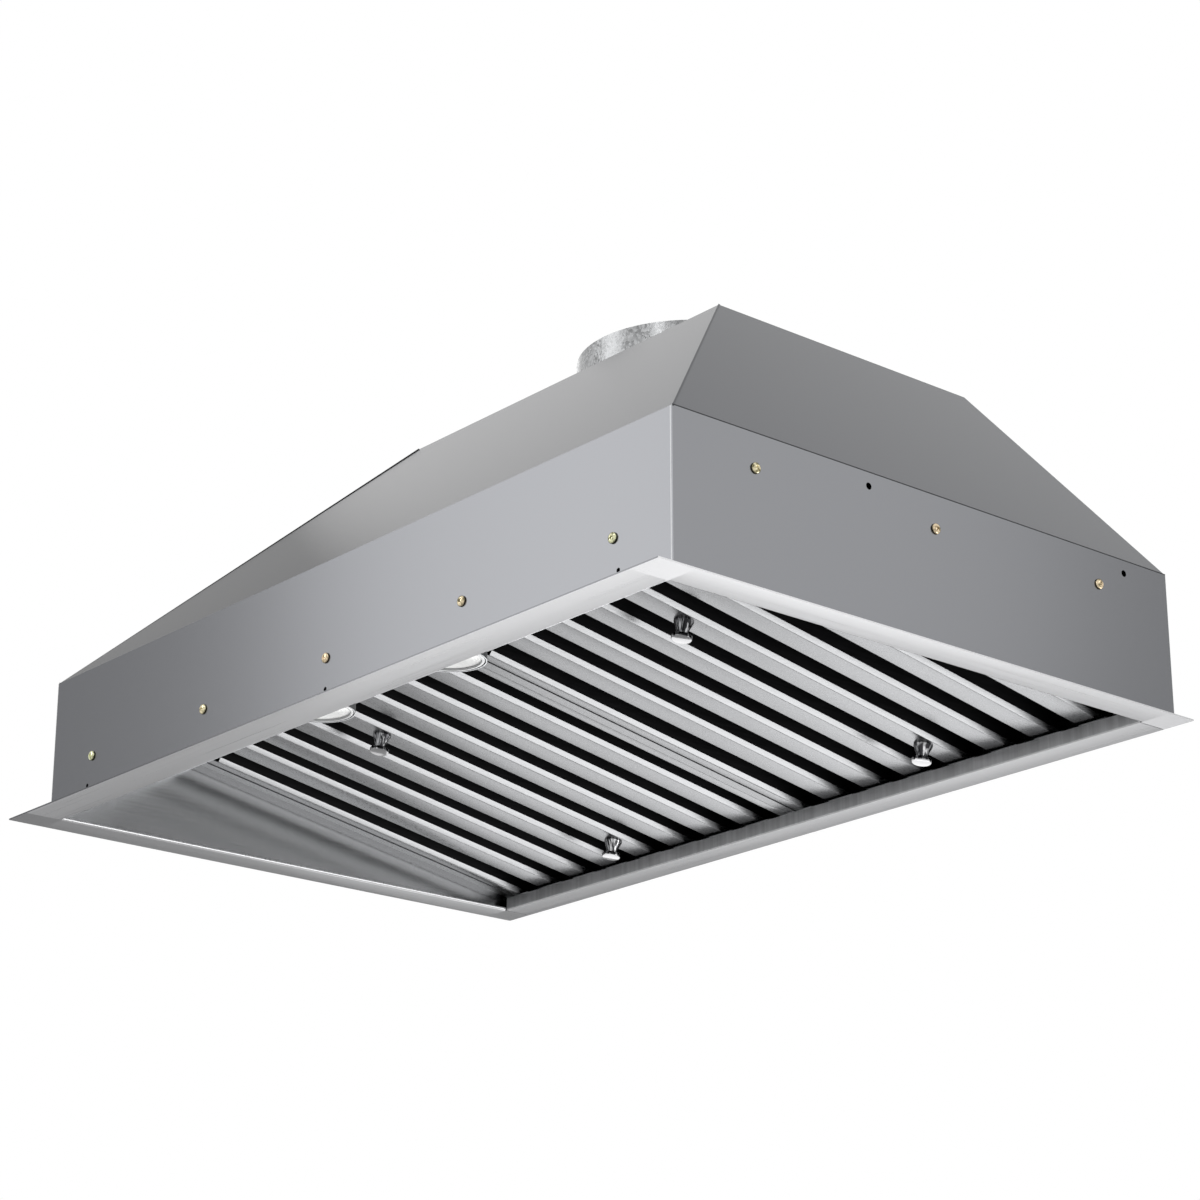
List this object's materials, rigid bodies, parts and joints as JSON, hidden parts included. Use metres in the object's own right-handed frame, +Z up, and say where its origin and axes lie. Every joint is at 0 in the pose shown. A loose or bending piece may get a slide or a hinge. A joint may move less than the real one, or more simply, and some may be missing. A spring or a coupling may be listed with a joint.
{
  "type": "range hood insert",
  "caption": "Built-in range hood insert: sheet-metal hopper with a bottom flange, baffle filters, a slanted lamp panel, a blower and a round duct collar.",
  "frame": {"origin": "centre of the flange's underside", "axes": "+Z up, +X to the right of someone who faces the hood front, +Y to the wall"},
  "size_m": [0.864, 0.5674, 0.412],
  "materials": {
    "flange": "bright brushed stainless",
    "casing": "smooth satin sheet",
    "top": "smooth satin sheet",
    "liner": "brushed stainless",
    "panel": "brushed stainless",
    "filter": "fine brushed stainless",
    "baffle_dark": "shaded stainless",
    "chrome": "polished",
    "bezel": "spun",
    "galvanised": "galvanised, with spangle",
    "yellow_zinc": "yellow zinc plated",
    "zinc": "zinc plated",
    "aluminium": "mill finish",
    "motor": "matt black paint",
    "heat_sink": "die cast",
    "lens": "frosted",
    "black_plastic": "moulded",
    "capacitor": "moulded",
    "board": "solder mask",
    "lead": "sheathed"
  },
  "bodies": {
    "housing": {"front_flange": "flange", "back_flange": "flange", "left_flange": "flange", "right_flange": "flange", "front_casing": "casing", "left_casing": "casing", "right_casing": "casing", "back_casing": "casing", "top_plate": "top", "left_liner": "liner", "right_liner": "liner", "light_panel": "panel", "lamp_sleeves": "panel", "rear_rail": "liner", "centre_divider": "filter", "side_spacers": "filter", "front_screws": "yellow_zinc", "side_screws": "yellow_zinc", "back_rivets": "zinc", "top_screws": "zinc", "duct_collar": "galvanised", "damper_stops": "zinc", "damper_rod": "zinc", "scroll_wrap": "galvanised", "left_scroll_plate": "galvanised", "right_scroll_plate": "galvanised", "motor": "motor", "motor_bracket": "zinc", "bracket_screws": "zinc", "capacitor": "capacitor", "terminal_box": "galvanised", "cable_gland": "black_plastic", "motor_lead": "lead", "control_lead": "lead", "left_lamp_bezel": "bezel", "left_lamp_lens": "lens", "left_lamp_can": "heat_sink", "right_lamp_bezel": "bezel", "right_lamp_lens": "lens", "right_lamp_can": "heat_sink", "control_plate": "panel", "control_box": "black_plastic", "control_board": "board"},
    "left_filter": {"left_filter_frame": "filter", "left_lower_baffles": "filter", "left_upper_baffles": "baffle_dark", "left_knobs": "chrome"},
    "right_filter": {"right_filter_frame": "filter", "right_lower_baffles": "filter", "right_upper_baffles": "baffle_dark", "right_knobs": "chrome"},
    "front_flap": {"front_flap": "aluminium"},
    "back_flap": {"back_flap": "aluminium"},
    "impeller": {"impeller": "galvanised", "motor_shaft": "zinc"},
    "button_1": {"button_1": "chrome"},
    "button_2": {"button_2": "chrome"},
    "button_3": {"button_3": "chrome"},
    "button_4": {"button_4": "chrome"},
    "button_5": {"button_5": "chrome"}
  },
  "joints": [
    {"name": "left_filter_tip", "type": "hinge", "parent": "housing", "child": "left_filter", "pos_m": [-0.19895, 0.27455, 0.01024], "axis": [-1, 0, 0], "range_deg": [0, 7]},
    {"name": "right_filter_tip", "type": "hinge", "parent": "housing", "child": "right_filter", "pos_m": [0.19895, 0.27455, 0.01024], "axis": [-1, 0, 0], "range_deg": [0, 7]},
    {"name": "front_flap_swing", "type": "hinge", "parent": "housing", "child": "front_flap", "pos_m": [0, 0.139, 0.3677], "axis": [-1, 0, 0], "range_deg": [0, 78]},
    {"name": "back_flap_swing", "type": "hinge", "parent": "housing", "child": "back_flap", "pos_m": [0, 0.139, 0.3677], "axis": [1, 0, 0], "range_deg": [0, 78]},
    {"name": "impeller_spin", "type": "hinge", "parent": "housing", "child": "impeller", "pos_m": [0, 0.09096, 0.236], "axis": [1, 0, 0], "continuous": true},
    {"name": "button_1_press", "type": "slide", "parent": "housing", "child": "button_1", "axis": [0, -0.4491, 0.8935], "range_m": [0, 0.0015], "stiffness_N_per_m": 400, "springref_m": -0.001},
    {"name": "button_2_press", "type": "slide", "parent": "housing", "child": "button_2", "axis": [0, -0.4491, 0.8935], "range_m": [0, 0.0015], "stiffness_N_per_m": 400, "springref_m": -0.001},
    {"name": "button_3_press", "type": "slide", "parent": "housing", "child": "button_3", "axis": [0, -0.4491, 0.8935], "range_m": [0, 0.0015], "stiffness_N_per_m": 400, "springref_m": -0.001},
    {"name": "button_4_press", "type": "slide", "parent": "housing", "child": "button_4", "axis": [0, -0.4491, 0.8935], "range_m": [0, 0.0015], "stiffness_N_per_m": 400, "springref_m": -0.001},
    {"name": "button_5_press", "type": "slide", "parent": "housing", "child": "button_5", "axis": [0, -0.4491, 0.8935], "range_m": [0, 0.0015], "stiffness_N_per_m": 400, "springref_m": -0.001}
  ]
}
